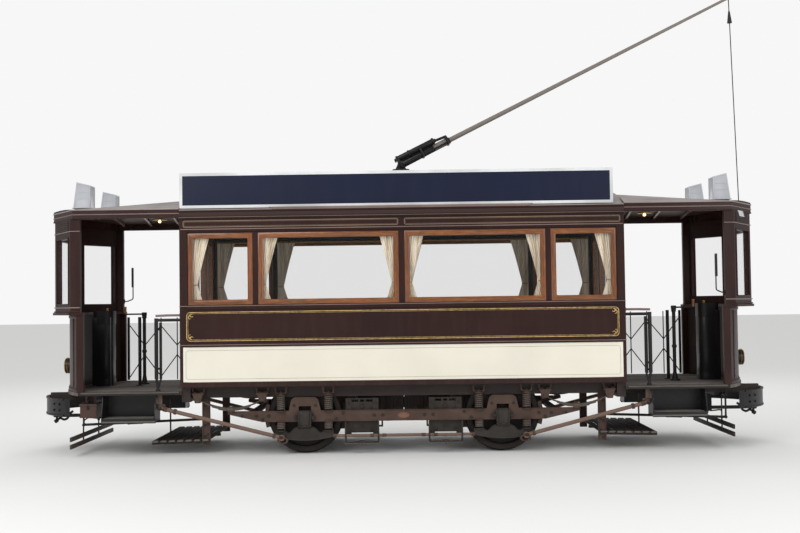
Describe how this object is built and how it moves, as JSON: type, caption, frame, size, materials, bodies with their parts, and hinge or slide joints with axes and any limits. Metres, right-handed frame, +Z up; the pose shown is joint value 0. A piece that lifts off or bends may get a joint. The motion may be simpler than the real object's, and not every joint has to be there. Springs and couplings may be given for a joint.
{
  "type": "single-truck electric tram",
  "caption": "Small electric tram on a four-wheel sprung truck, with open platforms, glazed end screens, a panelled saloon, roof signboards, folding gates and a trolley pole",
  "frame": {"origin": "Centre of the car on plan, at the bottom of the wheel flanges", "axes": "+X along the car towards the end the trolley pole trails over, +Y across it to the side away from the camera, +Z up"},
  "size_m": [8.7296, 2.024, 5.5917],
  "materials": {
    "brown_paint": "deep purple-brown coach enamel, glossy",
    "cream_paint": "cream coach enamel, glossy",
    "varnished_wood": "varnished hardwood",
    "floor_wood": "worn grey boards",
    "roof_paint": "matt grey painted canvas",
    "truck_iron": "dusty brown-grey castings",
    "spring_steel": "dull dark spring steel",
    "wheel_steel": "rolled steel, tread worn bright",
    "black_paint": "black enamel, slightly dusty",
    "dark_iron": "black iron bars",
    "rail_steel": "plain steel rail",
    "brass": "polished brass",
    "navy_paint": "navy board with a pale border",
    "light_grey_paint": "pale grey sheet",
    "oxide_paint": "dusty red-brown paint",
    "clear_glass": "window glass",
    "lamp_glass": "clear lamp lens",
    "curtain_cloth": "cream cloth"
  },
  "bodies": {
    "car": {"truck_frame": "truck_iron", "truck_straps": "truck_iron", "axle_boxes": "truck_iron", "spring_cradles": "truck_iron", "coil_springs": "spring_steel", "spring_brackets": "truck_iron", "leaf_springs": "spring_steel", "tie_rods": "truck_iron", "brake_rigging": "truck_iron", "life_guards": "black_paint", "motors": "truck_iron", "underframe": "dark_iron", "saloon_floor": "floor_wood", "side_frames": "brown_paint", "rocker_panels": "cream_paint", "waist_panels": "brown_paint", "letterboards": "brown_paint", "mouldings": "brown_paint", "sashes": "varnished_wood", "window_glass": "clear_glass", "bulkheads": "varnished_wood", "door_rails": "rail_steel", "saloon_roof": "roof_paint", "canopies": "roof_paint", "end_screens": "brown_paint", "screen_ledges": "brown_paint", "dashes": "brown_paint", "platform_floors": "floor_wood", "steps": "black_paint", "tool_box": "oxide_paint", "bumpers": "black_paint", "drawbars": "dark_iron", "headlamps": "black_paint", "headlamp_lenses": "lamp_glass", "benches": "varnished_wood", "curtain_rails": "brass", "curtains": "curtain_cloth", "controllers": "black_paint", "brake_columns": "dark_iron", "platform_posts": "dark_iron", "folded_gates": "dark_iron", "signboards": "navy_paint", "board_brackets": "dark_iron", "roof_end_boxes": "light_grey_paint", "trolley_plank": "roof_paint"},
    "wheelset_left": {"wheelset_left": "wheel_steel"},
    "wheelset_right": {"wheelset_right": "wheel_steel"},
    "saloon_door_left": {"saloon_door_left": "varnished_wood", "door_pane_left": "clear_glass"},
    "saloon_door_right": {"saloon_door_right": "varnished_wood", "door_pane_right": "clear_glass"},
    "gate_left": {"gate_stile_left": "dark_iron", "gate_lattice_left": "dark_iron"},
    "gate_right": {"gate_stile_right": "dark_iron", "gate_lattice_right": "dark_iron"},
    "trolley_base": {"trolley_base": "dark_iron"},
    "trolley_pole": {"trolley_pole": "dark_iron"},
    "trolley_wheel": {"trolley_wheel": "brass"}
  },
  "joints": [
    {"name": "wheelset_left_spin", "type": "hinge", "parent": "car", "child": "wheelset_left", "pos_m": [-1.143, 0, 0.439], "axis": [0, 1, 0], "continuous": true},
    {"name": "wheelset_right_spin", "type": "hinge", "parent": "car", "child": "wheelset_right", "pos_m": [1.143, 0, 0.439], "axis": [0, 1, 0], "continuous": true},
    {"name": "saloon_door_left_slide", "type": "slide", "parent": "car", "child": "saloon_door_left", "axis": [0, 1, 0], "range_m": [0, 0.57]},
    {"name": "saloon_door_right_slide", "type": "slide", "parent": "car", "child": "saloon_door_right", "axis": [0, 1, 0], "range_m": [0, 0.57]},
    {"name": "gate_left_slide", "type": "slide", "parent": "car", "child": "gate_left", "axis": [1, 0, 0], "range_m": [0, 0.86], "deforming": ["gate_lattice_left"]},
    {"name": "gate_right_slide", "type": "slide", "parent": "car", "child": "gate_right", "axis": [-1, 0, 0], "range_m": [0, 0.86], "deforming": ["gate_lattice_right"]},
    {"name": "trolley_swivel", "type": "hinge", "parent": "car", "child": "trolley_base", "pos_m": [0, 0, 3.36], "axis": [0, 0, 1], "continuous": true},
    {"name": "trolley_pole_pitch", "type": "hinge", "parent": "trolley_base", "child": "trolley_pole", "pos_m": [0, 0, 3.44], "axis": [0, -1, 0], "range_deg": [-24, 20]},
    {"name": "trolley_wheel_spin", "type": "hinge", "parent": "trolley_pole", "child": "trolley_wheel", "pos_m": [4.22245, 0, 5.52687], "axis": [0, 1, 0], "continuous": true}
  ]
}
